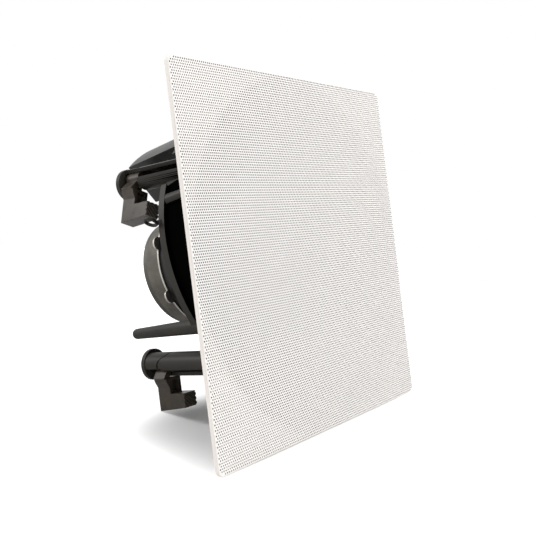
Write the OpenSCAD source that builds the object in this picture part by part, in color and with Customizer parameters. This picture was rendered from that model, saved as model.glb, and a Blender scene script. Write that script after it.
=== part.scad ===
// In-ceiling two-way speaker with a square perforated grille, a round frame
// and swing-out clamps. Z = 0 is the room face of the grille and +Z points
// up into the ceiling. The woofer leans by driver_tilt inside the frame.

/* [Grille] */
// Width and height of the square grille
grille_w = 240; // [236:1:250]
// Thickness of the grille's steel sheet
sheet_t = 0.8; // [0.6:0.1:1]
// Depth of the folded rim
rim_h = 3; // [2.8:0.1:4]
// Outer radius of the grille's corners
grille_corner_r = 4.5; // [3:0.5:8]
// Spacing of the perforation, coarser than the 1.8 mm of a real sheet
hole_pitch = 21.6; // [20:0.2:22]
// Diameter of each perforation, at the open share of a real sheet
hole_d = 13; // [8:0.5:14]
// Number of rows of holes
hole_rows = 12; // [8:2:12]
// Number of holes in a row
holes_per_row = 10; // [8:1:10]

/* [Frame] */
// Outer radius of the flange that covers the edge of the ceiling cut-out
flange_r = 118.5; // [116:0.5:118.5]
// Height of the flange's ceiling side above the room face
flange_top = 5; // [4.8:0.1:6]
// Outer radius of the collar
collar_r = 91; // [89:0.5:92]
// Outer radius of the rim at the collar's rear edge
rim_r = 94; // [93:0.5:95]
// Length of the rim along the woofer's axis
rim_t = 5; // [4:0.5:6]
// Radius of the round opening in the baffle
baffle_hole_r = 70; // [69.5:0.5:72]

/* [Woofer] */
// Lean of the woofer's axis, in degrees
driver_tilt = 8; // [6:1:9]
// Height of the baffle's front face on the woofer's axis
driver_z = 44; // [43:0.5:45]
// Sideways offset of the baffle's centre
driver_y = -8; // [-8.5:0.5:-7.5]
// Outer radius of the basket's flange
basket_r = 79.5; // [78:0.5:79.5]
// Radius of the ring magnet
magnet_r = 41; // [36:0.5:43]
// Thickness of the ring magnet
magnet_t = 14; // [12:0.5:14]
// Outer radius of the cone
cone_r = 55; // [54:0.5:56]

/* [Tweeter] */
// Height of the swivel's centre above the room face
swivel_z = 17; // [16.5:0.5:17.5]
// Outer radius of the tweeter's housing
pod_r = 21.5; // [20:0.5:21.5]
// Radius of the dome
dome_r = 12.7; // [11:0.1:13]

/* [Clamps] */
// Distance of each clamp's screw from the speaker's centre
clamp_r = 94; // [93:0.5:95]
// Outer radius of the clamp towers
tower_r = 8; // [7.5:0.5:8]
// Inner radius of the clamp towers
tower_bore_r = 5.4; // [5.3:0.1:5.6]
// Height at which the guide slot opens into the swing pocket
tower_end = 79; // [78:0.5:80]
// Length of the clamp dog's arm from the screw to its outer end
dog_reach = 31; // [28:0.5:31]
// Width of the clamp dog
dog_w = 11; // [8:0.5:11]
// How far the swung-out dog has been drawn towards the ceiling board
dog_travel = 6; // [0:1:10]

/* [Guide posts] */
// Sideways place of the left guide post; the right one is opposite it
post_x = -78; // [-80:0.5:-76]
// Place of the left guide post towards the lower edge
post_y = 36; // [34:0.5:38]
// Place of the right guide post towards the upper edge
right_post_y = 41; // [40:0.5:43]
// Outward lean of both posts, in degrees
post_lean = 2.7; // [0:0.1:4]
// Height of the posts' tips
post_top = 100; // [80:1:104]

/* [Hidden] */
$fn = 72;
gap = 0.5;

flange_z = 1.3;
lip_z = 0.9;
collar_wall = 3;
baffle_t = 4;
basket_z = 5;
basket_flange_t = 3.5;
basket_depth = 51;
plate_t = 5;
front_plate_z = basket_z + basket_depth;
magnet_z = front_plate_z + plate_t;
back_plate_z = magnet_z + magnet_t;
plate_r = magnet_r - 1;
pole_r = 18.2;
coil_r = 19.6;
screw_r = 2;
post_low_r = 5.9;
post_tip_r = 3.6;

// Clamp towers, seen from the room: the slot lies to one side of the radial line
upper_left = 221.7;
lower_left = 138.3;
upper_right = 318.3;
lower_right = 41.7;
tower_angles = [upper_left, lower_left, upper_right, lower_right];
slot_from = -36.5;
slot_to = 17;
shroud_from = 25;
shroud_to = 155;
neck_angle = 38.5;
dog_h = 11;
foot_h = 12.5;
pocket_top = 93.5;
cap_t = 5;
cap_r = 10.6;
tower_floor = 12;
head_z = 5.4;
dog_rear = 92;
foot_z = flange_top + 3.5;

// Crossover housing, an arc behind the rim on the woofer's axis
box_mid = 258.5;
box_half = 25.5;
box_top = 52;
cover_t = 2;

magnet_angles = [60, 120, 240, 300];
grille_magnet_r = 111;
rib_angles = [23, 203];
basket_screw_angles = [22.5, 67.5, 112.5, 157.5, 202.5, 247.5, 292.5, 337.5];
basket_screw_r = 76.2;
bridge_end = 82;
bridge_z = swivel_z - 3.5;
bridge_t = 7;
bridge_ring_r = 27.3;

// Places its children on the leaning axis of the woofer, at the baffle's front face
module on_driver_axis() {
    translate([0, driver_y, driver_z]) rotate([-driver_tilt, 0, 0]) children();
}

// Places its children on a clamp screw, with +X pointing away from the centre
module at_tower(angle) {
    rotate([0, 0, angle]) translate([clamp_r, 0, 0]) children();
}

// Pie-slice outline between two angles
module sector(r, from, to) {
    steps = 6;
    polygon([[0, 0], for (i = [0:steps])
        let (a = from + (to - from) * i / steps) [r * cos(a), r * sin(a)]]);
}

// Flat ring
module ring(outer, inner, h) {
    difference() {
        cylinder(r = outer, h = h);
        translate([0, 0, -1]) cylinder(r = inner, h = h + 2);
    }
}

// Square outline with round corners
module rounded_square(w, r) {
    inset = w / 2 - r;
    union() {
        square([w, w - 2 * r], center = true);
        square([w - 2 * r, w], center = true);
        for (x = [-inset, inset], y = [-inset, inset]) translate([x, y]) circle(r = r);
    }
}

// Centres of the perforation, in rows that are offset by half a step
module hole_field() {
    row_step = hole_pitch * sqrt(3) / 2;
    first_y = -(hole_rows - 1) * row_step / 2;
    first_x = -(holes_per_row - 0.5) * hole_pitch / 2;
    for (row = [0:hole_rows - 1], i = [0:holes_per_row - 1])
        translate([first_x + (i + (row % 2) / 2) * hole_pitch, first_y + row * row_step])
            circle(d = hole_d, $fn = 24);
}

// Steel sheet folded into a shallow tray: perforated face and four rim walls
module grille() {
    color("#e6e4e0") {
        linear_extrude(sheet_t) difference() {
            rounded_square(grille_w, grille_corner_r);
            hole_field();
        }
        translate([0, 0, sheet_t]) linear_extrude(rim_h - sheet_t) difference() {
            rounded_square(grille_w, grille_corner_r);
            rounded_square(grille_w - 2 * sheet_t, grille_corner_r - sheet_t);
        }
    }
}

// Discs of magnet in pockets of the flange: they hold the steel grille
module grille_magnets() {
    color("#8d8f92") for (a = magnet_angles) rotate([0, 0, a])
        translate([grille_magnet_r, 0, flange_z - 0.3]) cylinder(r = 4.5, h = 2.6);
}

module magnet_pockets() {
    for (a = magnet_angles) rotate([0, 0, a])
        translate([grille_magnet_r, 0, flange_z - 1]) cylinder(r = 4.5, h = 3.3);
}

// Rim at the collar's rear edge
module collar_rim() {
    translate([0, 0, baffle_t - rim_t]) cylinder(r = rim_r, h = rim_t);
}

// Everything of the collar that lies behind the flange's front face
module collar_solid() {
    intersection() {
        on_driver_axis() {
            translate([0, 0, -60]) cylinder(r = collar_r, h = 60 + baffle_t);
            collar_rim();
        }
        translate([-150, -150, flange_z]) cube([300, 300, 100]);
    }
    // Upright foot of the leaning collar
    translate([0, driver_y - (driver_z - 7) * tan(driver_tilt), flange_z])
        cylinder(r = collar_r + 2, h = foot_z - flange_z);
}

// Hollows of the rim beside each clamp tower
module rim_bites() {
    for (a = tower_angles) at_tower(a) intersection() {
        translate([0, 0, 25]) cylinder(r = 14, h = 40);
        rotate([0, 0, -a]) translate([-clamp_r * cos(a), -clamp_r * sin(a), 0]) on_driver_axis()
            translate([0, 0, -20]) ring(rim_r + 4, collar_r - 1, 40);
    }
}

module collar_hollow() {
    on_driver_axis() {
        translate([0, 0, -60]) cylinder(r = collar_r - collar_wall, h = 60);
        translate([0, 0, -1]) cylinder(r = baffle_hole_r, h = baffle_t + 2);
    }
}

// Tapered rod that stands on Z = 0 and ends in a round tip
module round_rod(low_r, tip_r, h) {
    steps = 6;
    rotate_extrude($fn = 48) polygon(concat(
        [[0, 0], [low_r, 0]],
        [for (i = [0:steps]) let (a = 75 * i / steps) [tip_r * cos(a), h - tip_r + tip_r * sin(a)]],
        [[0, h - tip_r + tip_r * sin(75)]]
    ));
}

// Tapered guide post with a round tip and a web down to the flange
module guide_post() {
    base = flange_z + 1;
    translate([0, 0, base]) rotate([-post_lean, 0, 0]) {
        round_rod(post_low_r, post_tip_r, post_top - base);
        rotate([90, 0, 90]) translate([0, 0, -1.5]) linear_extrude(3)
            polygon([[0, 2], [-11, 2], [-4, 50], [0, 58]]);
    }
    translate([0, 0, base]) cylinder(r = 7.2, h = foot_z - base);
    translate([-1.5, -12, base]) cube([3, 12, foot_z - base]);
}

// Channel that guides a clamp dog, with the pocket in which the dog swings
module tower() {
    translate([0, 0, tower_floor]) linear_extrude(tower_end - tower_floor) difference() {
        circle(r = tower_r);
        sector(20, slot_from, slot_to);
    }
    translate([0, 0, flange_z]) cylinder(r = tower_r, h = tower_floor - flange_z);
    translate([0, 0, tower_end - 1]) linear_extrude(pocket_top - tower_end + 2) intersection() {
        circle(r = tower_r);
        sector(20, shroud_from, shroud_to);
    }
    rotate([0, 0, -130]) translate([2.2, 0, pocket_top]) rotate_extrude()
        polygon([[0, 0], [cap_r, 0], [cap_r, cap_t - 2], [cap_r - 2, cap_t], [0, cap_t]]);
    // Web between the tower and the collar
    translate([-16, -1.5, flange_z + 1]) cube([10, 3, 48]);
}

// Room inside a tower for the screw and for the hub of the dog
module tower_hollow() {
    translate([0, 0, tower_floor]) cylinder(r = tower_bore_r, h = pocket_top + 0.5 - tower_floor);
    translate([0, 0, -1]) cylinder(r = screw_r + 0.3, h = tower_floor + 2);
    translate([0, 0, -1]) cylinder(r = 4.3, h = head_z + 4.5);
    translate([0, 0, pocket_top - 1]) cylinder(r = screw_r + 0.05, h = 5);
}

// Bosses inside the collar that carry the tweeter bridge
module bridge_boss() {
    translate([bridge_end, 0, bridge_z + bridge_t]) cylinder(r = 4.5, h = 24);
}

// One moulding: flange, collar, baffle, rear rim, clamp towers and guide posts
module round_frame() {
    color("#1c1b1a") difference() {
        union() {
            difference() {
                union() {
                    translate([0, 0, flange_z]) cylinder(r1 = flange_r, r2 = flange_r - 0.6, h = flange_top - flange_z);
                    collar_solid();
                }
                collar_hollow();
                rim_bites();
            }
            translate([0, 0, lip_z]) ring(flange_r, flange_r - 1.6, flange_top - lip_z - 1);
            for (a = tower_angles) at_tower(a) tower();
            translate([post_x, post_y, 0]) guide_post();
            rotate([0, 0, 180]) translate([post_x, right_post_y, 0]) guide_post();
            for (turn = [0, 180]) rotate([0, 0, turn]) bridge_boss();
            // Rounded ribs that centre the collar in the cut-out
            on_driver_axis() for (a = rib_angles) rotate([0, 0, a])
                translate([collar_r, 0, -2.5]) mirror([0, 0, 1]) round_rod(4.2, 3.4, 26);
        }
        for (a = tower_angles) at_tower(a) tower_hollow();
        magnet_pockets();
        for (turn = [0, 180]) rotate([0, 0, turn])
            translate([bridge_end, 0, bridge_z]) cylinder(r = 1.4, h = 20);
        on_driver_axis() for (a = basket_screw_angles) rotate([0, 0, a])
            translate([basket_screw_r, 0, 1]) cylinder(r = 1.6, h = baffle_t);
    }
}

// Foam ring between the baffle and the basket
module driver_gasket() {
    color("#5a3a22") on_driver_axis() translate([0, 0, baffle_t]) difference() {
        ring(basket_r - 0.5, baffle_hole_r, basket_z - baffle_t);
        for (a = basket_screw_angles) rotate([0, 0, a])
            translate([basket_screw_r, 0, -1]) cylinder(r = 2, h = 4);
    }
}

// Moulded basket: flange, four arms with open windows, spider ledge and motor seat
module woofer_basket() {
    z1 = basket_flange_t;
    ledge = 28.6;
    color("#2a2a2b") on_driver_axis() translate([0, 0, basket_z]) difference() {
        rotate_extrude($fn = 120) polygon([
            [66, 0], [basket_r, 0], [basket_r, z1], [73, z1], [70.5, 8], [58, 27], [58, 31.6],
            [51, 31.6], [46, 43], [46, basket_depth], [21, basket_depth], [21, basket_depth - 3],
            [43, basket_depth - 3], [43, 42.4], [47.8, ledge], [55, ledge], [55, 26.5],
            [67.4, 7], [66, z1]
        ]);
        // Windows between the arms, in front of and behind the ledge
        for (a = [0:90:270]) rotate([0, 0, a]) {
            translate([0, 0, 8]) linear_extrude(18) sector(100, -33, 33);
            translate([0, 0, 33.6]) linear_extrude(9) sector(100, -24, 24);
        }
        for (a = basket_screw_angles) rotate([0, 0, a])
            translate([basket_screw_r, 0, -1]) cylinder(r = 2, h = z1 + 2);
    }
}

// Pan-head screws that hold the basket to the baffle
module basket_screws() {
    color("#9a9b9d") on_driver_axis() for (a = basket_screw_angles) rotate([0, 0, a])
        translate([basket_screw_r, 0, 0]) {
            translate([0, 0, 1.5]) cylinder(r = 1.6, h = basket_z + basket_flange_t - 1.5);
            translate([0, 0, basket_z + basket_flange_t]) cylinder(r1 = 3, r2 = 2.2, h = 1.9);
        }
}

module woofer_front_plate() {
    color("#a9a7a1") on_driver_axis() translate([0, 0, front_plate_z]) ring(plate_r, coil_r + 0.7, plate_t);
}

module woofer_magnet() {
    color("#4d4a46") on_driver_axis() translate([0, 0, magnet_z]) rotate_extrude($fn = 120)
        polygon([[24, 0], [magnet_r - 0.8, 0], [magnet_r, 0.8], [magnet_r, magnet_t - 0.8],
            [magnet_r - 0.8, magnet_t], [24, magnet_t]]);
}

// Forged back plate and pole in one piece, with a vent through the pole
module pole_yoke() {
    top = back_plate_z + plate_t;
    color("#a9a7a1") on_driver_axis() rotate_extrude($fn = 120) polygon([
        [6, front_plate_z + 0.5], [pole_r, front_plate_z + 0.5], [pole_r, back_plate_z],
        [plate_r, back_plate_z], [plate_r, top - 1], [plate_r - 1, top], [9, top], [6, top - 6]
    ]);
}

// Former with its winding, which moves in the gap of the motor
module voice_coil() {
    color("#b0703a") on_driver_axis() translate([0, 0, 27]) rotate_extrude()
        polygon([[18.8, 0], [coil_r, 0], [coil_r, 37], [18.8, 37]]);
}

// Curved paper cone with a small ledge for the surround
module cone() {
    steps = 8;
    top_z = 3;
    neck_z = 30;
    curve = [for (i = [0:steps]) let (t = i / steps)
        [coil_r + (cone_r - 2 - coil_r) * t, neck_z - (neck_z - top_z) * pow(t, 0.86)]];
    color("#26262a") on_driver_axis() rotate_extrude($fn = 96) polygon(concat(
        curve, [[cone_r, top_z], [cone_r, top_z + 1.2]],
        [for (i = [steps:-1:0]) [curve[i][0] + 0.1, curve[i][1] + 1.3]]
    ));
}

module dust_cap() {
    steps = 8;
    rise = 6;
    base_z = 27;
    rim = coil_r - 0.1;
    dome = [for (i = [0:steps]) let (t = i / steps) [rim * t, base_z - rise * (1 - t * t)]];
    color("#2b2b30") on_driver_axis() rotate_extrude() polygon(concat(
        dome, [for (i = [steps:-1:0]) [dome[i][0], min(dome[i][1] + 1, base_z)]]
    ));
}

// Half roll of rubber between the cone and the basket
module surround() {
    mid = 60.6;
    roll = 5.4;
    wall = 0.8;
    base = 2.2;
    steps = 12;
    color("#17171a") on_driver_axis() rotate_extrude($fn = 96) polygon(concat(
        [[cone_r - 2, base]],
        [for (i = [0:steps]) let (a = 180 * i / steps)
            [mid - roll * cos(a), base - roll * sin(a)]],
        [[69.4, base], [69.4, basket_z], [66.2, basket_z], [66.2, base + wall]],
        [for (i = [steps:-1:0]) let (a = 180 * i / steps)
            [mid - (roll - wall) * cos(a), base + wall * 0.9 - (roll - wall) * sin(a)]],
        [[cone_r - 2, base + wall]]
    ));
}

// Corrugated cloth disc that centres the voice coil
module spider() {
    steps = 36;
    inner = coil_r;
    outer = 50;
    mid = basket_z + 27.6;
    function wave(r) = mid + 1.1 * sin((r - inner) / (outer - inner) * 360 * 4);
    color("#b9893c") on_driver_axis() rotate_extrude() polygon(concat(
        [for (i = [0:steps]) let (r = inner + (outer - inner) * i / steps) [r, wave(r) - 0.5]],
        [[54.6, mid - 0.5], [54.6, mid + 1], [49.5, mid + 1]],
        [for (i = [steps - 1:-1:0]) let (r = inner + (outer - inner) * i / steps) [r, wave(r) + 0.5]]
    ));
}

// Bar across the frame that carries the tweeter and the level switches
module tweeter_bridge() {
    bar_w = 18;
    color("#232323") difference() {
        union() {
            translate([0, 0, bridge_z]) cylinder(r = bridge_ring_r + 3.7, h = bridge_t);
            translate([-bridge_end, -bar_w / 2, bridge_z + 2]) cube([2 * bridge_end, bar_w, bridge_t - 2]);
            for (x = [-bridge_end, bridge_end])
                translate([x, 0, bridge_z + 2]) cylinder(r = 5, h = bridge_t - 2);
            for (s = [-1, 1]) translate([-bridge_end, s * bar_w / 2 - 1, bridge_z]) cube([2 * bridge_end, 2, 3]);
        }
        translate([0, 0, bridge_z - 1]) cylinder(r = bridge_ring_r, h = bridge_t + 2);
        // Pivot bores of the swivel ring
        translate([-bridge_ring_r - 3, 0, swivel_z]) rotate([0, 90, 0])
            cylinder(r = 1.56, h = 2 * bridge_ring_r + 6);
        for (x = [-bridge_end, bridge_end])
            translate([x, 0, bridge_z - 1]) cylinder(r = 1.8, h = bridge_t + 2);
        // Slots and pockets of the two level switches
        for (x = [-52, 52]) {
            translate([x - 5.5, -1.8, bridge_z]) cube([11, 3.6, bridge_t + 1]);
            translate([x - 9, -4.5, bridge_z + 4]) cube([18, 9, bridge_t]);
        }
        // Clear of the collar's wall
        difference() {
            translate([-120, -120, 0]) cube([240, 240, 40]);
            on_driver_axis() translate([0, 0, -60]) cylinder(r = collar_r - collar_wall - gap, h = 80);
        }
    }
}

module bridge_screws() {
    color("#9a9b9d") for (x = [-bridge_end, bridge_end]) translate([x, 0, 0]) {
        translate([0, 0, bridge_z + 2]) cylinder(r = 1.4, h = 16);
        translate([0, 0, bridge_z]) cylinder(r1 = 2.2, r2 = 3.2, h = 2);
    }
}

// Ring between the bridge and the tweeter: it turns on one axis and carries the other
module swivel_ring() {
    color("#303032") difference() {
        union() {
            translate([0, 0, swivel_z - 3]) ring(26.4, 24.4, 6);
            for (s = [0, 180]) rotate([0, 0, s]) translate([25.4, 0, swivel_z])
                rotate([0, 90, 0]) cylinder(r = 1.5, h = 4.4);
        }
        translate([0, -30, swivel_z]) rotate([-90, 0, 0]) cylinder(r = 1.56, h = 60);
    }
}

// Cup of the tweeter with its two pivots
module tweeter_housing() {
    z0 = swivel_z - 6;
    color("#202022") {
        translate([0, 0, z0]) difference() {
            rotate_extrude() polygon([[0, 0], [pod_r, 0], [pod_r, 12], [pod_r - 3, 18], [0, 20]]);
            translate([0, 0, -1]) cylinder(r = pod_r - 2, h = 12);
            translate([0, 0, 9]) cylinder(r = 14, h = 8);
        }
        for (s = [90, 270]) rotate([0, 0, s]) translate([pod_r - 1, 0, swivel_z])
            rotate([0, 90, 0]) cylinder(r = 1.5, h = 4.4);
    }
}

// Front ring of the tweeter with a shallow horn
module tweeter_faceplate() {
    z0 = swivel_z - 8.5;
    color("#1b1b1d") translate([0, 0, z0]) rotate_extrude() polygon([
        [pod_r, 0.8], [pod_r, 2.5], [pod_r - 2.2, 2.5], [pod_r - 2.2, 4.5],
        [15.6, 4.5], [15.6, 3.4], [19, 0], [pod_r - 0.8, 0]
    ]);
}

// Soft dome with its roll and coil
module tweeter_dome() {
    z0 = swivel_z - 4.4;
    steps = 8;
    rise = 4.5;
    dome = [for (i = [0:steps]) let (t = i / steps) [dome_r * t, -rise * (1 - t * t)]];
    color("#34343c") translate([0, 0, z0]) rotate_extrude() polygon(concat(
        dome, [[14, -0.8], [15.2, 0], [15.2, 0.6], [14, 0.2], [12.9, 0.8], [12.9, 5.6], [12.3, 5.6]],
        [for (i = [steps - 1:-1:0]) [dome[i][0], dome[i][1] + 0.6]]
    ));
}

module tweeter_magnet() {
    color("#77797c") translate([0, 0, swivel_z]) difference() {
        cylinder(r = 14, h = 11);
        translate([0, 0, -1]) ring(13.4, 11.8, 4);
    }
}

module switch_bodies() {
    color("#111111") for (x = [-52, 52]) translate([x, 0, bridge_z + 4]) difference() {
        translate([-8.7, -4.2, 0]) cube([17.4, 8.4, 6]);
        translate([-5.3, -1.7, -1]) cube([10.6, 3.4, 3]);
    }
}

module level_slider(x) {
    color("#d8d8d8") translate([x, 0, 0]) {
        translate([-2.5, -1.4, bridge_z + 4.4]) cube([5, 2.8, 1.4]);
        translate([-1.5, -1.4, bridge_z - 0.6]) cube([3, 2.8, 5.1]);
    }
}

module tweeter_level_slider() {
    level_slider(-52);
}

module woofer_level_slider() {
    level_slider(52);
}

// Outline of the crossover housing in radius and height on the woofer's axis
box_outline = [[83, 4], [94, 4], [94, box_top], [62, box_top], [62, 36], [76, 14], [83, 9.5]];
box_room = [[85, 6], [92, 6], [92, box_top + 1], [64, box_top + 1], [64, 36.5], [78, 15], [85, 10.5]];

module arc_block(outline, half) {
    rotate([0, 0, -half]) rotate_extrude(angle = 2 * half, $fn = 96) polygon(outline);
}

module on_box() {
    on_driver_axis() rotate([0, 0, box_mid]) children();
}

// Tray of the crossover, moulded as an arc that follows the rim
module crossover_housing() {
    color("#3a3937") on_box() difference() {
        arc_block(box_outline, box_half);
        arc_block(box_room, box_half - 1.6);
    }
}

// Lid that closes the tray towards the ceiling space
module crossover_cover() {
    color("#454442") on_box() difference() {
        arc_block([[62, box_top], [94, box_top], [94, box_top + cover_t - 0.6], [93.4, box_top + cover_t],
            [62.6, box_top + cover_t], [62, box_top + cover_t - 0.6]], box_half);
        for (s = [-1, 1]) rotate([0, 0, s * 21]) translate([74, 0, box_top - 1]) cylinder(r = 1.6, h = 5);
    }
}

module crossover_screws() {
    color("#9a9b9d") on_box() for (s = [-1, 1]) rotate([0, 0, s * 21]) translate([74, 0, 0]) {
        translate([0, 0, box_top - 3]) cylinder(r = 1.5, h = 3 + cover_t);
        translate([0, 0, box_top + cover_t]) cylinder(r1 = 3, r2 = 2.2, h = 1.6);
    }
}

module crossover_board() {
    color("#2f6b3a") on_box() translate([66.5, -20, 45]) cube([20, 40, 1.6]);
}

module crossover_coils() {
    color("#b5632c") on_box() for (y = [-10, 11]) translate([77, y, 33]) ring(8, 3, 12);
}

module crossover_capacitors() {
    color("#d8b23a") on_box() for (a = [-11, 0]) rotate([0, 0, a]) translate([88, 0, 26]) cylinder(r = 3, h = 17);
}

// Block with two sprung contacts for bare loudspeaker wire
module terminal_block() {
    color("#161616") on_box() translate([78, 0, box_top + cover_t]) difference() {
        translate([-7, -12, 0]) cube([14, 24, 9]);
        for (y = [-5.5, 5.5]) {
            translate([-3.9, y - 3.4, 2.6]) cube([6.8, 6.8, 7]);
            translate([2, y, 4.5]) rotate([0, 90, 0]) cylinder(r = 1.6, h = 6);
        }
    }
}

module terminal_button(y) {
    on_box() translate([74.5, y - 3, box_top + cover_t + 6.8]) cube([6, 6, 4.6]);
}

module red_terminal_button() {
    color("#c4202a") terminal_button(-5.5);
}

module black_terminal_button() {
    color("#101010") terminal_button(5.5);
}

// Long screw of a clamp, with a cross recess in its pan head
module clamp_screw(angle) {
    color("#8f8f8c") at_tower(angle) difference() {
        union() {
            translate([0, 0, head_z + 2]) cylinder(r = screw_r, h = pocket_top + 1.5 - head_z);
            translate([0, 0, head_z]) cylinder(r1 = 3.2, r2 = 3.9, h = 3);
        }
        for (turn = [0, 90]) rotate([0, 0, turn]) translate([-2, -0.5, head_z - 1]) cube([4, 1, 2.6]);
    }
}

module clamp_screw_upper_left() {
    clamp_screw(upper_left);
}

module clamp_screw_upper_right() {
    clamp_screw(upper_right);
}

module clamp_screw_lower_left() {
    clamp_screw(lower_left);
}

module clamp_screw_lower_right() {
    clamp_screw(lower_right);
}

// Dog of a clamp: hub on the screw, neck through the slot, arm, and a ridged foot
module dog_body() {
    arm_from = tower_r + 0.4;
    foot_end = -dog_h - foot_h;
    difference() {
        union() {
            translate([0, 0, -dog_h]) cylinder(r = tower_bore_r - 0.4, h = dog_h);
            rotate([0, 0, neck_angle]) translate([3, -2.1, 0.6 - dog_h]) cube([9.4, 4.2, dog_h - 1.2]);
            translate([0, 0, -dog_h]) linear_extrude(dog_h) polygon([
                [arm_from, dog_w / 2 - 1], [arm_from, dog_w / 2], [9.2, 8.2], [11.2, 7.6], [15, dog_w / 2],
                [15, dog_w / 2 - 1]]);
            translate([0, dog_w / 2, 0]) rotate([90, 0, 0]) linear_extrude(dog_w) polygon([
                [arm_from, 0], [dog_reach, 0], [dog_reach - 2.6, foot_end], [dog_reach - 12.2, foot_end],
                [dog_reach - 11.8, -dog_h], [arm_from, -dog_h]]);
        }
        translate([0, 0, -dog_h - 1]) cylinder(r = screw_r + 0.05, h = dog_h + 2);
        // Recess in the arm's face, and the ridges that bite into the board
        translate([10.5, -3, -dog_h - 1]) cube([7.5, 6, 3]);
        for (i = [-3:3]) translate([dog_reach - 7.4, 0, foot_end]) rotate([0, 0, 40])
            translate([i * 2.2, 0, 0]) rotate([90, 0, 0])
                linear_extrude(24, center = true) polygon([[-0.8, -0.1], [0.8, -0.1], [0, 0.9]]);
    }
}

module clamp_dog(angle, swing, travel) {
    color("#262524") at_tower(angle) translate([0, 0, dog_rear - travel]) rotate([0, 0, swing]) dog_body();
}

// A dog at rest lies inwards; swung out, its arm stands past the edge of the cut-out
stowed = -114.2;
swung_out = -48.3;

module clamp_dog_upper_left() {
    clamp_dog(upper_left, stowed, 0);
}

module clamp_dog_upper_right() {
    clamp_dog(upper_right, stowed, 0);
}

module clamp_dog_lower_left() {
    clamp_dog(lower_left, swung_out, dog_travel);
}

module clamp_dog_lower_right() {
    clamp_dog(lower_right, stowed, 0);
}

grille();
round_frame();
grille_magnets();
driver_gasket();
woofer_basket();
basket_screws();
woofer_front_plate();
woofer_magnet();
pole_yoke();
voice_coil();
cone();
dust_cap();
surround();
spider();
tweeter_bridge();
bridge_screws();
swivel_ring();
tweeter_housing();
tweeter_faceplate();
tweeter_dome();
tweeter_magnet();
switch_bodies();
tweeter_level_slider();
woofer_level_slider();
crossover_housing();
crossover_cover();
crossover_board();
crossover_coils();
crossover_capacitors();
crossover_screws();
terminal_block();
red_terminal_button();
black_terminal_button();
clamp_screw_upper_left();
clamp_screw_upper_right();
clamp_screw_lower_left();
clamp_screw_lower_right();
clamp_dog_upper_left();
clamp_dog_upper_right();
clamp_dog_lower_left();
clamp_dog_lower_right();
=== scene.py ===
import math

import bmesh
import bpy
import numpy as np
from mathutils import Matrix, Vector


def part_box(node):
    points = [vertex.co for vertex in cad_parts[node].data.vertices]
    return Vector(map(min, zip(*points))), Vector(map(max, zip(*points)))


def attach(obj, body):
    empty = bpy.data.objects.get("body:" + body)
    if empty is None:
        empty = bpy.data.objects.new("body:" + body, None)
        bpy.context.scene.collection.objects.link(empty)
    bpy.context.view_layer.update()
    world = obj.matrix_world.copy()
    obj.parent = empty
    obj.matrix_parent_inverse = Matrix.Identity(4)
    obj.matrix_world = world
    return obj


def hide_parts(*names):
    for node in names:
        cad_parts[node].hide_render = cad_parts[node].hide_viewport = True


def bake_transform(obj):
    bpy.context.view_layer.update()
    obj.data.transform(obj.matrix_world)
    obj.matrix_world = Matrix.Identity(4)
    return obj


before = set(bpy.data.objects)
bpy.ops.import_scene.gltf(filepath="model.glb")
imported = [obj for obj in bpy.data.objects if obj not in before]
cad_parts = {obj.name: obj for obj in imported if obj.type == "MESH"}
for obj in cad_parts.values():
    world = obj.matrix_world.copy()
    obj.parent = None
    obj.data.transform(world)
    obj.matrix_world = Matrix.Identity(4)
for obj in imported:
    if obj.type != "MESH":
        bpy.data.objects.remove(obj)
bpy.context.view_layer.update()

# Camera: it stands in front of the grille and to its left, at the height of the speaker's
# middle, and looks past the left edge at the frame and the clamps behind.
camera_place = Vector((-0.4447, 0.0007, -0.2978))
camera_down = Vector((-0.0830, 0.9924, 0.0909)).normalized()
camera_forward = Vector((0.7966, 0.0113, 0.6044))
camera_right = camera_down.cross(camera_forward).normalized()
camera_forward = camera_right.cross(camera_down)
camera = bpy.data.objects.new("camera", bpy.data.cameras.new("camera"))
bpy.context.scene.collection.objects.link(camera)
camera.data.sensor_width = 36
camera.data.lens = 52.89
camera.data.clip_start = 0.01
camera.matrix_world = Matrix.Translation(camera_place) @ Matrix(
    (camera_right, -camera_down, -camera_forward)).transposed().to_4x4()
bpy.context.scene.camera = camera

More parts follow.
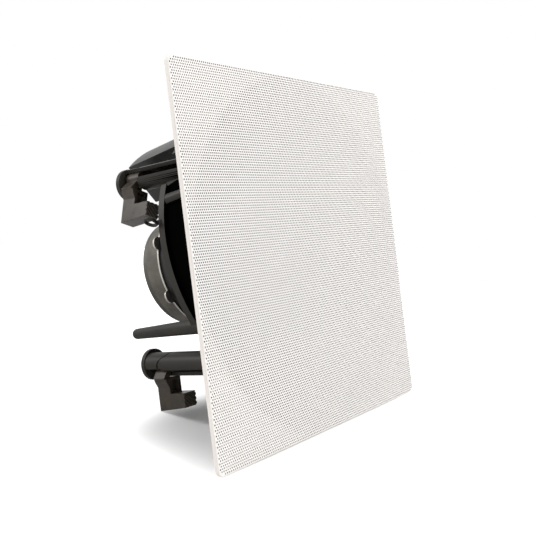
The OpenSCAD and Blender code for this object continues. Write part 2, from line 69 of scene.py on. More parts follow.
# Frame of the speaker: flange, collar, leaning baffle, rear rim, clamp towers and guide posts
# come out of one mould, in black plastic with a fine spark-eroded texture.
def moulded(name, colour, light_colour, roughness, grain, relief,
            specular=0.3, rounding=0.0004, drift=60):
    """Moulded plastic: tone and gloss wander a little, over a fine eroded texture."""
    gloss_drift = 0.08
    material = bpy.data.materials.new(name)
    material.use_nodes = True
    nodes = material.node_tree.nodes
    link = material.node_tree.links.new
    skin = nodes["Principled BSDF"]
    skin.inputs["Specular IOR Level"].default_value = specular
    place = nodes.new("ShaderNodeTexCoord").outputs["Object"]
    flow = nodes.new("ShaderNodeTexNoise")
    flow.inputs["Scale"].default_value = drift
    flow.inputs["Detail"].default_value = 5
    link(place, flow.inputs["Vector"])
    tone = nodes.new("ShaderNodeMix")
    tone.data_type = "RGBA"
    tone.inputs["A"].default_value = (*colour, 1)
    tone.inputs["B"].default_value = (*light_colour, 1)
    link(flow.outputs["Fac"], tone.inputs["Factor"])
    link(tone.outputs["Result"], skin.inputs["Base Color"])
    gloss = nodes.new("ShaderNodeMapRange")
    gloss.inputs["To Min"].default_value = roughness - gloss_drift
    gloss.inputs["To Max"].default_value = roughness + gloss_drift
    link(flow.outputs["Fac"], gloss.inputs["Value"])
    link(gloss.outputs["Result"], skin.inputs["Roughness"])
    texture = nodes.new("ShaderNodeTexNoise")
    texture.inputs["Scale"].default_value = 1 / grain
    texture.inputs["Detail"].default_value = 2
    link(place, texture.inputs["Vector"])
    edges = nodes.new("ShaderNodeBevel")
    edges.samples = 4
    edges.inputs["Radius"].default_value = rounding
    bump = nodes.new("ShaderNodeBump")
    bump.inputs["Strength"].default_value = 0.35
    bump.inputs["Distance"].default_value = relief
    link(texture.outputs["Fac"], bump.inputs["Height"])
    link(edges.outputs["Normal"], bump.inputs["Normal"])
    link(bump.outputs["Normal"], skin.inputs["Normal"])
    return material


def dress(material, *names):
    """Gives CAD pieces that keep their shape their finish."""
    for name in names:
        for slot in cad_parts[name].material_slots:
            slot.material = material


frame_black = moulded("frame_black", (0.017, 0.0155, 0.0130), (0.034, 0.0310, 0.0260), 0.42,
                      0.0005, 0.00006, 0.2)
dress(frame_black, "round_frame")

# Outside of the collar: painted shade, a near-black copy of the frame's moulding for the shade
# of the rim and grille. Its faces are picked by their place on the woofer's leaning axis.
collar_painted_shade = moulded("collar_painted_shade", (0.0012, 0.0012, 0.0011), (0.0018, 0.0017, 0.0016), 0.8,
                       0.0006, 0.00005, 0.0)
driver_axis = Matrix.Translation((0, -0.008, 0.044)) @ Matrix.Rotation(math.radians(-8), 4, "X")
to_driver = driver_axis.inverted()
collar_low, collar_outer, rim_front = 0.0050, 0.0933, -0.0005
frame_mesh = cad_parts["round_frame"].data
frame_mesh.materials.append(collar_painted_shade)
# The collar's outside faces take the painted shade
for face in frame_mesh.polygons:
    spot = to_driver @ face.center
    on_shaded_collar = spot.z < rim_front and math.hypot(spot.x, spot.y) < collar_outer
    if face.center.z > collar_low and on_shaded_collar:
        face.material_index = len(frame_mesh.materials) - 1

# Foam gasket: a brown ring, die cut from closed-cell foam. The screws of the basket squeeze it
# against the baffle.
gasket_foam = moulded("gasket_foam", (0.10, 0.045, 0.02), (0.16, 0.08, 0.04), 0.9,
                      0.0004, 0.0002, 0.1)
dress(gasket_foam, "driver_gasket")

# Basket of the woofer: one moulding of glass-filled black plastic, a little greyer than the
# frame, held to the baffle by eight screws.
basket_black = moulded("basket_black", (0.018, 0.017, 0.016), (0.027, 0.026, 0.025), 0.42,
                       0.0007, 0.00008)
dress(basket_black, "woofer_basket")

# Motor of the woofer: a fired ferrite ring, glued between a dark plated washer and the forged
# yoke. The speaker's screws and small magnets are a brighter zinc.
def plated(name, colour, stain, roughness, grain):
    """Plated steel: a metal whose passivated film clouds its colour and gloss."""
    shinier, duller, rounding = 0.08, 0.12, 0.0003
    material = bpy.data.materials.new(name)
    material.use_nodes = True
    nodes = material.node_tree.nodes
    link = material.node_tree.links.new
    skin = nodes["Principled BSDF"]
    skin.inputs["Metallic"].default_value = 1.0
    place = nodes.new("ShaderNodeTexCoord").outputs["Object"]
    cloud = nodes.new("ShaderNodeTexNoise")
    cloud.inputs["Scale"].default_value = 1 / grain
    cloud.inputs["Detail"].default_value = 6
    link(place, cloud.inputs["Vector"])
    tone = nodes.new("ShaderNodeMix")
    tone.data_type = "RGBA"
    tone.inputs["A"].default_value = (*colour, 1)
    tone.inputs["B"].default_value = (*stain, 1)
    link(cloud.outputs["Fac"], tone.inputs["Factor"])
    link(tone.outputs["Result"], skin.inputs["Base Color"])
    gloss = nodes.new("ShaderNodeMapRange")
    gloss.inputs["To Min"].default_value = roughness - shinier
    gloss.inputs["To Max"].default_value = roughness + duller
    link(cloud.outputs["Fac"], gloss.inputs["Value"])
    link(gloss.outputs["Result"], skin.inputs["Roughness"])
    edges = nodes.new("ShaderNodeBevel")
    edges.samples = 4
    edges.inputs["Radius"].default_value = rounding
    link(edges.outputs["Normal"], skin.inputs["Normal"])
    return material


zinc = plated("zinc", (0.42, 0.42, 0.40), (0.30, 0.29, 0.27), 0.38, 0.012)
dress(zinc, "grille_magnets", "tweeter_magnet", "basket_screws", "bridge_screws",
      "crossover_screws")
dark_plate = plated("dark_plate", (0.115, 0.107, 0.094), (0.090, 0.086, 0.080), 0.48, 0.015)
dress(dark_plate, "woofer_front_plate", "pole_yoke")
ferrite = moulded("ferrite", (0.020, 0.018, 0.015), (0.190, 0.172, 0.142), 0.5,
                  0.0006, 0.0001, 0.35, drift=110)
dress(ferrite, "woofer_magnet")

# Seat plate of the motor: a stamped washer over the rear end of the basket, with a round tab on
# each side of every window, pressed from plated sheet and riveted down.
seat_radius = 0.0475
seat_hole = 0.0461
seat_low, seat_high = 0.0546, 0.0560
tab_height, tab_half_angle, tab_offset = 0.0045, 6.0, 24.0
seat_steps = 360


def make_piece(name, points, faces, material, body=None):
    """A mesh piece with its finish. A rigid one rides on a body."""
    mesh = bpy.data.meshes.new(name)
    mesh.from_pydata(points, [], faces)
    mesh.validate()
    mesh.materials.append(material)
    piece = bpy.data.objects.new(name, mesh)
    bpy.context.scene.collection.objects.link(piece)
    if body:
        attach(piece, body)
    return piece


def ring_faces(rings, around):
    """Faces of a closed tube whose last ring joins its first one."""
    return [[ring * around + i, ring * around + (i + 1) % around,
             (ring + 1) % rings * around + (i + 1) % around, (ring + 1) % rings * around + i]
            for ring in range(rings) for i in range(around)]


def seat_edge(degrees):
    """Radius of the seat plate's outer edge, which swells at the tabs."""
    side = (degrees + 45) % 90 - 45
    away = abs(abs(side) - tab_offset) / tab_half_angle
    return seat_radius + (tab_height * math.sqrt(1 - away * away) if away < 1 else 0)


def on_driver(radius, turn, height):
    """A point round the leaning axis of the woofer, in the speaker's own frame."""
    return driver_axis @ Vector((radius * math.cos(turn), radius * math.sin(turn), height))


seat_points = []
for radius_of, height in ((seat_edge, seat_low), (seat_edge, seat_high),
                          (lambda _: seat_hole, seat_high), (lambda _: seat_hole, seat_low)):
    for step in range(seat_steps):
        degrees = 360 * step / seat_steps
        seat_points.append(on_driver(radius_of(degrees), math.radians(degrees), height))
seat_steel = plated("seat_steel", (0.52, 0.50, 0.46), (0.42, 0.40, 0.37), 0.35, 0.010)
make_piece("motor_seat_plate", seat_points, ring_faces(4, seat_steps), seat_steel,
           "frame")

# Moving parts of the woofer: a cone and a cap of coated paper, glued to a former that is wound
# with enamelled copper wire.
cone_paper = moulded("cone_paper", (0.022, 0.022, 0.024), (0.034, 0.034, 0.038), 0.7,
                     0.0009, 0.0002)
dress(cone_paper, "cone", "dust_cap")
copper = plated("copper", (0.62, 0.28, 0.14), (0.45, 0.18, 0.08), 0.35, 0.002)
dress(copper, "voice_coil", "crossover_coils")


# Surround: a half roll of moulded rubber. Its outer lip is clamped under the basket and its inner
# lip is glued to the cone. It is made in sectors.
def hanging_ring(node, profile, sectors, material):
    """A ring turned from a closed profile round the woofer's leaning axis, in sectors."""
    steps_around, sharp_degrees = 96, 40
    steps = steps_around // sectors
    count = len(profile)
    faces = [[k * count + i, (k + 1) * count + i, (k + 1) * count + (i + 1) % count,
              k * count + (i + 1) % count] for k in range(steps) for i in range(count)]
    for sector in range(sectors):
        turns = [2 * math.pi * (sector + k / steps) / sectors for k in range(steps + 1)]
        points = [on_driver(radius, turn, height) for turn in turns for radius, height in profile]
        piece = make_piece(f"{node}_sector_{sector + 1}", points, faces, material)
        piece.data.shade_smooth()
        piece.data.set_sharp_from_angle(angle=math.radians(sharp_degrees))
        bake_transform(piece)
        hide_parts(node)


roll_middle, roll_radius, roll_wall, roll_base = 0.0606, 0.0054, 0.0008, 0.0022
cone_edge, lip_edge, lip_inner, lip_top = 0.053, 0.0694, 0.0662, 0.005
roll_fixed, roll_moving, roll_sectors, roll_steps = 0.0652, 0.0554, 24, 16
roll_turns = [math.pi * k / roll_steps for k in range(roll_steps + 1)]


def roll_arc(radius, height):
    """One side of the half roll, from the cone to the lip."""
    return [(roll_middle - radius * math.cos(a), height - radius * math.sin(a)) for a in roll_turns]


surround_profile = [(cone_edge, roll_base), *roll_arc(roll_radius, roll_base),
                    (lip_edge, roll_base), (lip_edge, lip_top),
                    (lip_inner, lip_top), (lip_inner, roll_base + roll_wall),
                    *reversed(roll_arc(roll_radius - roll_wall, roll_base + roll_wall * 0.9)),
                    (cone_edge, roll_base + roll_wall)]
rubber = moulded("rubber", (0.011, 0.011, 0.012), (0.016, 0.016, 0.017), 0.5, 0.0008, 0.00005)
hanging_ring("surround", surround_profile, roll_sectors, rubber)

# Spider: a disc of resin-dipped cloth, pressed into rings. It is glued to the basket's ledge and
# to the former, and centres the winding.
spider_inner, spider_outer, spider_edge, spider_lip = 0.0196, 0.050, 0.0546, 0.0495
spider_height, spider_wave, spider_half, spider_waves = 0.0326, 0.0011, 0.0005, 4
spider_fixed, spider_moving, spider_sectors, spider_steps = 0.046, 0.024, 12, 64
spider_radii = [spider_inner + (spider_outer - spider_inner) * k / spider_steps
                for k in range(spider_steps + 1)]


def spider_level(radius):
    """Height of the spider's middle, which rises and falls in rings."""
    along = (radius - spider_inner) / (spider_outer - spider_inner)
    return spider_height + spider_wave * math.sin(2 * math.pi * spider_waves * along)


spider_front = [(radius, spider_level(radius) - spider_half) for radius in spider_radii]
spider_back = [(radius, spider_level(radius) + spider_half) for radius in spider_radii[:-1]]
spider_profile = [*spider_front, (spider_edge, spider_height - spider_half),
                  (spider_edge, spider_height + 2 * spider_half),
                  (spider_lip, spider_height + 2 * spider_half), *reversed(spider_back)]
spider_cloth = moulded("spider_cloth", (0.38, 0.22, 0.06), (0.50, 0.32, 0.11), 0.75,
                       0.0004, 0.0002, 0.2)
hanging_ring("spider", spider_profile, spider_sectors, spider_cloth)

# Tweeter: a moulded cup and face ring that turn in a swivel ring on the bridge across the
# opening. Its dome is coated silk, pressed to a thin cap with a small roll round it.
dress(frame_black, "tweeter_bridge", "swivel_ring", "tweeter_housing", "tweeter_faceplate")
dome_silk = moulded("dome_silk", (0.030, 0.030, 0.038), (0.045, 0.045, 0.055), 0.45,
                    0.0003, 0.00006)
dress(dome_silk, "tweeter_dome")

# Level switches: two small black slide switches set into the back of the bridge, with pale
# knobs that a fingertip moves.
dress(frame_black, "switch_bodies")
knob_white = moulded("knob_white", (0.62, 0.62, 0.60), (0.70, 0.70, 0.68), 0.4,
                     0.0006, 0.00004, 0.5)
dress(knob_white, "tweeter_level_slider", "woofer_level_slider")

# Crossover: a dark grey moulded tray on the back of the frame, with a screwed lid, and inside
# it the board, two coils and two capacitors.
box_grey = moulded("box_grey", (0.024, 0.023, 0.022), (0.034, 0.033, 0.031), 0.4,
                   0.0006, 0.00006)
dress(box_grey, "crossover_housing", "crossover_cover")
board_green = moulded("board_green", (0.02, 0.12, 0.05), (0.03, 0.17, 0.07), 0.35,
                      0.0010, 0.00003, 0.5)
dress(board_green, "crossover_board")
capacitor_film = moulded("capacitor_film", (0.55, 0.37, 0.06), (0.63, 0.45, 0.09), 0.3,
                         0.0015, 0.00003, 0.5)
dress(capacitor_film, "crossover_capacitors")

# Loudspeaker terminals: a moulded block on the lid, with two sprung push buttons over the wire
# holes, one red and one black.
dress(frame_black, "terminal_block", "black_terminal_button")
button_red = moulded("button_red", (0.50, 0.015, 0.02), (0.60, 0.03, 0.03), 0.3,
                     0.0008, 0.00003, 0.5)
dress(button_red, "red_terminal_button")

# Clamps: each dog rides on a long zinc-plated screw that is turned from the room side. The
# dogs are a satin dark moulding, whose lighter brown patches are painted sheen.
clamp_places = {"upper_left": 221.7, "upper_right": 318.3, "lower_left": 138.3, "lower_right": 41.7}
# Painted sheen: the lighter brown tone stands in for reflections on the dogs' faces
dog_grey_and_sheen = moulded("dog_grey_and_sheen", (0.012, 0.011, 0.010), (0.078, 0.061, 0.044), 0.30,
                   0.0008, 0.00006, 0.35, drift=120)
dress(dog_grey_and_sheen, *("clamp_dog_" + clamp for clamp in clamp_places))
dress(zinc, *("clamp_screw_" + clamp for clamp in clamp_places))

# Joint of each clamp: the gap between the tower's tube and the hood over the dog follows a wave
# round the tube, so that the dog seats as it swings. A thin black band on the tube is painted shade
# for the inside of the gap.
clamp_distance = 0.094
gap_outer, gap_inner = 0.00802, 0.00782
gap_from, gap_to, gap_middle, gap_run = 28, 158, 82, 22
gap_height, gap_wave, gap_width = 0.0776, 0.0040, 0.0011
gap_steps = 48
# Painted shade: a near-black band laid on the tube where the gap's shade falls
gap_painted_shade = moulded("gap_painted_shade", (0.002, 0.002, 0.002), (0.003, 0.003, 0.003), 0.8,
                    0.0006, 0.00003, 0.05)
gap_section = ((gap_outer, 0), (gap_outer, gap_width), (gap_inner, gap_width), (gap_inner, 0))
gap_faces = [[4 * k + i, 4 * k + (i + 1) % 4, 4 * k + 4 + (i + 1) % 4, 4 * k + 4 + i]
             for k in range(gap_steps) for i in range(4)]
gap_faces += [[3, 2, 1, 0], [4 * gap_steps + i for i in range(4)]]
for clamp, place in clamp_places.items():
    to_place = Matrix.Rotation(math.radians(place), 3, "Z")
    gap_points = []
    for step in range(gap_steps + 1):
        local = gap_from + (gap_to - gap_from) * step / gap_steps
        turn = math.radians(local)
        height = gap_height - gap_wave * math.tanh((local - gap_middle) / gap_run)
        gap_points += [to_place @ Vector((clamp_distance + radius * math.cos(turn),
                                          radius * math.sin(turn), height + up))
                       for radius, up in gap_section]
    make_piece(f"clamp_gap_{clamp}", gap_points, gap_faces, gap_painted_shade, "frame")

# Eyelet: a small moulded ring on a stem at the rim's rear edge, for the cord that holds the
# speaker while its wires are joined.
eyelet_outer, eyelet_hole, eyelet_half = 0.0050, 0.0029, 0.0012
eyelet_centre = Vector((-0.0953, -0.0308, 0.0537))
eyelet_steps, eyelet_round, stem_round = 32, 8, 16
eyelet_facing = math.radians(33)
stem_foot = driver_axis @ Vector((-0.0896, -0.0225, 0.0026))
stem_sizes = ((0.48, 0.0009), (0.55, 0.0014), (0.80, 0.0019), (1.00, 0.0026))
upright = Vector((0, 0, 1))
eyelet_side = Vector((-math.cos(eyelet_facing), -math.sin(eyelet_facing), 0))
eyelet_normal = eyelet_side.cross(upright)
eyelet_points = []
for k in range(eyelet_round):
    turn = 2 * math.pi * k / eyelet_round
    radius = (eyelet_outer + eyelet_hole) / 2 + (eyelet_outer - eyelet_hole) / 2 * math.cos(turn)
    for step in range(eyelet_steps):
        along = 2 * math.pi * step / eyelet_steps
        spoke = eyelet_side * math.cos(along) + upright * math.sin(along)
        eyelet_points.append(eyelet_centre + eyelet_normal * eyelet_half * math.sin(turn)
                             + radius * spoke)
eyelet_faces = ring_faces(eyelet_round, eyelet_steps)

# Its stem, a taper that runs into the rim
stem_way = stem_foot - eyelet_centre
stem_across = stem_way.orthogonal().normalized()
stem_over = stem_way.cross(stem_across).normalized()
stem_base = len(eyelet_points)
stem_last = (len(stem_sizes) - 1) * stem_round
for share, radius in stem_sizes:
    for step in range(stem_round):
        turn = 2 * math.pi * step / stem_round
        spoke = stem_across * math.cos(turn) + stem_over * math.sin(turn)
        eyelet_points.append(eyelet_centre + stem_way * share + radius * spoke)
stem_faces = [face for face in ring_faces(len(stem_sizes), stem_round) if face[0] < stem_last]
stem_faces += [list(reversed(range(stem_round))), [stem_last + i for i in range(stem_round)]]
eyelet_faces += [[stem_base + i for i in face] for face in stem_faces]
eyelet = make_piece("rim_eyelet", eyelet_points, eyelet_faces, frame_black,
                    "frame")
eyelet.data.shade_smooth()

# Grille: one steel sheet of 0.8 mm, punched with some 20,000 holes in staggered rows, then
# folded round its edge into a shallow tray and powder coated white.
sheet = 0.0008
hole_step = 0.001823
row_step = hole_step * math.sqrt(3) / 2
hole_radius = 0.00060
hole_clearance = 0.9
fold_radius = 0.00085
corner_radius = 0.0045
hole_rows = 151
holes_in_row = 131
bands = 4
half_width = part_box("grille")[1].x
rim_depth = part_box("grille")[1].z


def edge_path(inset):
    """The grille's outline, a square with round corners, moved in by inset."""
    radius = corner_radius - inset
    centre = half_width - corner_radius
    steps = 10
    path = []
    for corner in range(4):
        pivot = Vector((centre, centre))
        pivot.rotate(Matrix.Rotation(corner * math.pi / 2, 2))
        for step in range(steps + 1):
            angle = (corner + step / steps) * math.pi / 2
            path.append((pivot.x + radius * math.cos(angle), pivot.y + radius * math.sin(angle)))
    return path


def fits(x, y):
    """Whether a hole lies on the flat of the sheet, clear of the round corners."""
    centre = half_width - corner_radius
    over = np.maximum(np.abs(np.stack([x, y])) - centre, 0)
    return np.hypot(*over) < corner_radius - fold_radius - hole_radius * hole_clearance


# Places of the holes: the odd rows are half a step aside and one hole shorter
row, column = np.meshgrid(np.arange(hole_rows), np.arange(holes_in_row), indexing="ij")
hole_x = (column - (holes_in_row - 1) / 2 + (row % 2) / 2) * hole_step
hole_y = (row - (hole_rows - 1) / 2) * row_step
punched = fits(hole_x, hole_y) & ((row % 2 == 0) | (column < holes_in_row - 1))
first = np.where(punched, np.cumsum(punched.ravel()).reshape(punched.shape) * 6 - 6, -1)

# Each hole is a hexagon whose corners point between its six neighbours
turn = np.radians(30 + 60 * np.arange(6))
flat_xy = np.stack([
    (hole_x[punched][:, None] + hole_radius * np.cos(turn)).ravel(),
    (hole_y[punched][:, None] + hole_radius * np.sin(turn)).ravel()], axis=1)
hole_at_row = row[punched]


def joined(*corners):
    """Faces over the sheet between holes. A corner is a hole's first point and its turn."""
    firsts = [np.asarray(hole).ravel() for hole, _ in corners]
    whole = np.all([hole >= 0 for hole in firsts], axis=0)
    return np.stack([hole[whole] + point for hole, (_, point) in zip(firsts, corners)], axis=1)


def neighbours(upper, even):
    """The holes up-left and up-right of each hole in the row below."""
    if even:
        return np.concatenate([[-1], upper[:-1]]), upper
    return upper, np.append(upper[1:], -1)


bridges, knots = [], []
for k in range(hole_rows):
    here = first[k]
    right = np.append(here[1:], -1)
    bridges.append(joined((here, 5), (right, 3), (right, 2), (here, 0)))
    if k + 1 < hole_rows:
        up_left, up_right = neighbours(first[k + 1], k % 2 == 0)
        bridges.append(joined((here, 0), (up_right, 4), (up_right, 3), (here, 1)))
        bridges.append(joined((here, 1), (up_left, 5), (up_left, 4), (here, 2)))
        knots.append(joined((here, 0), (right, 2), (up_right, 4)))
        knots.append(joined((up_left, 5), (here, 1), (up_right, 3)))
bridges = np.concatenate(bridges)
knots = np.concatenate(knots)
hexagons = np.arange(len(flat_xy)).reshape(-1, 6)


def sides(faces):
    """Every side of the faces, as pairs of points in order."""
    ahead = np.roll(faces, -1, axis=1)
    return np.concatenate([
        np.stack([faces[:, i], ahead[:, i]], axis=1) for i in range(faces.shape[1])])


# The outline of the punched field: the sides that only one face or hole has
field_sides = np.concatenate([sides(bridges), sides(knots), sides(hexagons)])
_, where, count = np.unique(np.sort(field_sides, axis=1), axis=0,
                            return_index=True, return_counts=True)
following = {int(a): int(b) for a, b in field_sides[where[count == 1]]}
outline = [min(following)]
while following[outline[-1]] != outline[0]:
    outline.append(following[outline[-1]])

grille_paint = moulded("grille_paint", (0.92, 0.895, 0.87), (0.95, 0.925, 0.90), 0.5,
                       0.0012, 0.00002, 0.4, rounding=0.00015)
# Painted shade inside the holes and on the back: a darker grey copy of the white paint
hole_painted_shade = moulded("hole_painted_shade", (0.42, 0.39, 0.37), (0.50, 0.47, 0.45), 0.6,
                    0.0012, 0.00002, 0.2, rounding=0.00015)


def both_skins(faces, total):
    """Faces of the room side, turned to face the room, and of the side behind it."""
    room_side = [list(map(int, face[::-1])) for face in faces]
    return room_side + [[int(i) + total for i in face] for face in faces]


for band in range(bands):
    low = band * hole_rows // bands
    high = (band + 1) * hole_rows // bands
    own = []
    for faces in (bridges, knots, hexagons):
        lowest = hole_at_row[faces // 6].min(axis=1)
        own.append(faces[(lowest >= low) & (lowest < high)])
    used, packed = np.unique(np.concatenate([faces.ravel() for faces in own]), return_inverse=True)
    cuts = np.cumsum([faces.size for faces in own])[:-1]
    own = [part.reshape(-1, faces.shape[1]) for part, faces in zip(np.split(packed, cuts), own)]
    total = len(used)
    xy = flat_xy[used]
    points = np.concatenate([np.column_stack([xy, np.full(total, level)]) for level in (0, sheet)])
    faces = both_skins(own[0], total) + both_skins(own[1], total)
    for a, b in sides(own[2]):
        faces.append([int(a), int(b), int(b) + total, int(a) + total])
    piece = make_piece(f"grille_face_{band + 1}", points.tolist(), faces, grille_paint,
                       "grille")
    piece.data.materials.append(hole_painted_shade)
    # Hole walls and the back skin take the painted shade
    for face in piece.data.polygons:
        face.material_index = int(any(piece.data.vertices[i].co.z > 0 for i in face.vertices))
    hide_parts("grille")

# Border of the grille: the strip round the punched field, the fold and the rim behind it. The fold,
# rim wall and back take a darker, warmer copy of the white: painted shade.
fold_steps, inner_fold_steps, rim_edge_round = 6, 3, 0.0002


def fold_arc(radius, start, steps):
    """Inset and height along a quarter turn of the fold, from the face to the rim."""
    return [(start + radius * (1 - math.sin(a)), start + radius * (1 - math.cos(a)))
            for a in (math.pi / 2 * i / steps for i in range(steps + 1))]


profile = [*fold_arc(fold_radius, 0, fold_steps),
           (0, rim_depth - rim_edge_round), (rim_edge_round, rim_depth),
           (sheet - rim_edge_round, rim_depth), (sheet, rim_depth - rim_edge_round),
           *reversed(fold_arc(fold_radius - sheet, sheet, inner_fold_steps))]
rim_points, rim_faces = [], []
for inset, height in profile:
    rim_points += [(x, y, height) for x, y in edge_path(inset)]
around = len(edge_path(0))
for ring in range(len(profile) - 1):
    for i in range(around):
        j = (i + 1) % around
        rim_faces.append([ring * around + i, (ring + 1) * around + i,
                          (ring + 1) * around + j, ring * around + j])


def spaced(path, step):
    """A closed path with points added on its long straights."""
    close = []
    for a, b in zip(path, path[1:] + path[:1]):
        parts = max(1, round((b - a).length / step))
        close += [a.lerp(b, k / parts) for k in range(parts)]
    return close


def strip_between(outer, inner):
    """Triangles between two closed paths that run the same way, by the shorter step."""
    shift = min(range(len(outer)), key=lambda k: (outer[k] - inner[0]).length)
    i = j = 0
    triangles = []
    while i < len(outer) or j < len(inner):
        here, ahead = (shift + i) % len(outer), (shift + i + 1) % len(outer)
        there, beyond = j % len(inner), (j + 1) % len(inner)
        outer_step = (outer[ahead] - inner[there]).length
        inner_step = (outer[here] - inner[beyond]).length
        if j == len(inner) or (i < len(outer) and outer_step < inner_step):
            triangles.append((here, ahead, len(outer) + there))
            i += 1
        else:
            triangles.append((here, len(outer) + beyond, len(outer) + there))
            j += 1
    return triangles


border = spaced([Vector(point) for point in edge_path(fold_radius)], hole_step)
field = [Vector(map(float, flat_xy[i])) for i in outline]
if sum(a.x * b.y - b.x * a.y for a, b in zip(field, field[1:] + field[:1])) < 0:
    field.reverse()
strip = strip_between(border, field)
for height, turn_over in ((0.0, True), (sheet, False)):
    start = len(rim_points)
    rim_points += [(point.x, point.y, height) for point in border + field]
    rim_faces += [[start + i for i in (triangle[::-1] if turn_over else triangle)]
                  for triangle in strip]
rim = make_piece("grille_rim", rim_points, rim_faces, grille_paint,
                 "grille")
# Painted shade: a darker, warmer copy of the grille's white for the fold and the rim wall
rim_painted_shade = moulded("rim_painted_shade", (0.84, 0.785, 0.735), (0.87, 0.815, 0.765), 0.5,
                     0.0012, 0.00002, 0.4, rounding=0.00015)
rim_shade_from = fold_radius * 0.6
rim.data.materials.append(rim_painted_shade)
for face in rim.data.polygons:
    face.material_index = int(face.center.z > rim_shade_from)
same_place, sharp_degrees = 1e-6, 35
welded = bmesh.new()
welded.from_mesh(rim.data)
bmesh.ops.remove_doubles(welded, verts=welded.verts, dist=same_place)
welded.to_mesh(rim.data)
welded.free()
rim.data.shade_smooth()
rim.data.set_sharp_from_angle(angle=math.radians(sharp_degrees))
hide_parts("grille")

# Floor: the speaker leans back on the lower edge of its rim and on the foot of the swung-out
# clamp, so the floor passes through both. It is one-sided, to leave the other views free.
rim_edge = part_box("grille")[1]
dog_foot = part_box("clamp_dog_lower_left")[1]
lean = math.atan2(rim_edge.y - dog_foot.y, dog_foot.z - rim_edge.z)
floor_up = Vector((0, -math.cos(lean), -math.sin(lean)))
floor_back = Vector((0, -math.sin(lean), math.cos(lean)))
floor_side = Vector((1, 0, 0))
floor_radius, floor_corners, floor_drop = 0.6, 96, 0.0002
floor_origin = Vector((0, rim_edge.y, rim_edge.z)) - floor_up * floor_drop
floor_points = [(floor_radius * math.cos(turn), floor_radius * math.sin(turn), 0)
                for turn in (2 * math.pi * i / floor_corners for i in range(floor_corners))]
floor_mesh = bpy.data.meshes.new("floor")
floor_mesh.from_pydata(floor_points, [], [list(range(floor_corners))])
floor = bpy.data.objects.new("floor", floor_mesh)
bpy.context.scene.collection.objects.link(floor)
floor.matrix_world = Matrix.Translation(floor_origin) @ Matrix(
    (floor_side, floor_back, floor_up)).transposed().to_4x4()

# Its paper glows white for the camera, but less under the speaker: a painted shadow over the real
# one
shade_middle, shade_reach, shade_depth = 0.035, 0.134, 0.060
glow_near, glow_far = 0.08, 0.70
paper = bpy.data.materials.new("floor_paper")
paper.use_nodes = True
nodes = paper.node_tree.nodes
link = paper.node_tree.links.new
nodes.remove(nodes["Principled BSDF"])
matt = nodes.new("ShaderNodeBsdfDiffuse")
matt.inputs["Color"].default_value = (0.85, 0.85, 0.85, 1)
glow = nodes.new("ShaderNodeEmission")
ground = nodes.new("ShaderNodeMapping")
ground.vector_type = "TEXTURE"
ground.inputs["Location"].default_value = (0, shade_middle, 0)
ground.inputs["Scale"].default_value = (shade_reach, shade_depth, 1)
squared = nodes.new("ShaderNodeVectorMath")
squared.operation = "MULTIPLY"
spread = nodes.new("ShaderNodeVectorMath")
spread.operation = "DOT_PRODUCT"
# Painted shadow: the glow drops towards the middle of the oval
sweep = nodes.new("ShaderNodeMapRange")
sweep.interpolation_type = "SMOOTHSTEP"
sweep.inputs["From Min"].default_value = 0.10
sweep.inputs["To Min"].default_value = glow_near
sweep.inputs["To Max"].default_value = glow_far
link(nodes.new("ShaderNodeTexCoord").outputs["Object"], ground.inputs["Vector"])
for side in (0, 1):
    link(ground.outputs["Vector"], squared.inputs[side])
    link(squared.outputs["Vector"], spread.inputs[side])
link(spread.outputs["Value"], sweep.inputs["Value"])
link(sweep.outputs["Result"], glow.inputs["Strength"])
seen = nodes.new("ShaderNodeLightPath")
lit = nodes.new("ShaderNodeAddShader")
shown = nodes.new("ShaderNodeMixShader")
through = nodes.new("ShaderNodeBsdfTransparent")
link(seen.outputs["Is Camera Ray"], shown.inputs["Fac"])
link(matt.outputs["BSDF"], lit.inputs[0])
link(glow.outputs["Emission"], lit.inputs[1])
link(matt.outputs["BSDF"], shown.inputs[1])
link(lit.outputs["Shader"], shown.inputs[2])
one_sided = nodes.new("ShaderNodeMixShader")
facing = nodes.new("ShaderNodeNewGeometry")
link(facing.outputs["Backfacing"], one_sided.inputs["Fac"])
link(shown.outputs["Shader"], one_sided.inputs[1])
link(through.outputs["BSDF"], one_sided.inputs[2])
link(one_sided.outputs["Shader"], nodes["Material Output"].inputs["Surface"])
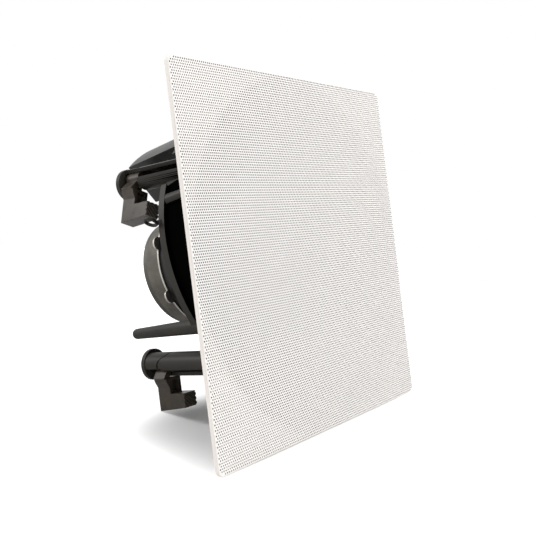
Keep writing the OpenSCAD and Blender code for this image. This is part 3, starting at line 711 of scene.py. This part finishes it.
floor_mesh.materials.append(paper)

# Light: a white room at a plain level, one large soft lamp above and in front of the speaker,
# and a smaller one behind it on the left, which catches the rim and the clamps.
world = bpy.data.worlds.new("white_room")
bpy.context.scene.world = world
world.use_nodes = True
nodes = world.node_tree.nodes
link = world.node_tree.links.new
room = nodes["Background"]
room.inputs["Color"].default_value = (1, 1, 1, 1)
room.inputs["Strength"].default_value = 0.55
backdrop = nodes.new("ShaderNodeBackground")
backdrop.inputs["Color"].default_value = (1, 1, 1, 1)
backdrop.inputs["Strength"].default_value = 1.0
seen = nodes.new("ShaderNodeLightPath")
seen_or_glossy = nodes.new("ShaderNodeMath")
seen_or_glossy.operation = "MAXIMUM"
any_view = nodes.new("ShaderNodeMath")
any_view.operation = "MAXIMUM"
mixed = nodes.new("ShaderNodeMixShader")
link(seen.outputs["Is Camera Ray"], seen_or_glossy.inputs[0])
link(seen.outputs["Is Glossy Ray"], seen_or_glossy.inputs[1])
link(seen_or_glossy.outputs["Value"], any_view.inputs[0])
link(seen.outputs["Is Transmission Ray"], any_view.inputs[1])
link(any_view.outputs["Value"], mixed.inputs["Fac"])
link(room.outputs["Background"], mixed.inputs[1])
link(backdrop.outputs["Background"], mixed.inputs[2])
link(mixed.outputs["Shader"], nodes["World Output"].inputs["Surface"])


def soft_lamp(name, direction, distance, width, power):
    """A square lamp that faces the speaker's middle."""
    lamp = bpy.data.objects.new(name, bpy.data.lights.new(name, "AREA"))
    bpy.context.scene.collection.objects.link(lamp)
    lamp.data.shape = "SQUARE"
    lamp.data.size = width
    lamp.data.energy = power
    towards = Vector(direction).normalized()
    lamp.location = towards * distance
    lamp.rotation_mode = "QUATERNION"
    lamp.rotation_quaternion = towards.to_track_quat("Z", "Y")


soft_lamp("main_lamp", direction=(0.20, -0.68, -0.71), distance=1.5, width=1.1, power=17.5)
soft_lamp("side_lamp", direction=(-0.58, -0.64, 0.51), distance=1.4, width=0.5, power=9)

bpy.context.scene.view_settings.view_transform = "Standard"
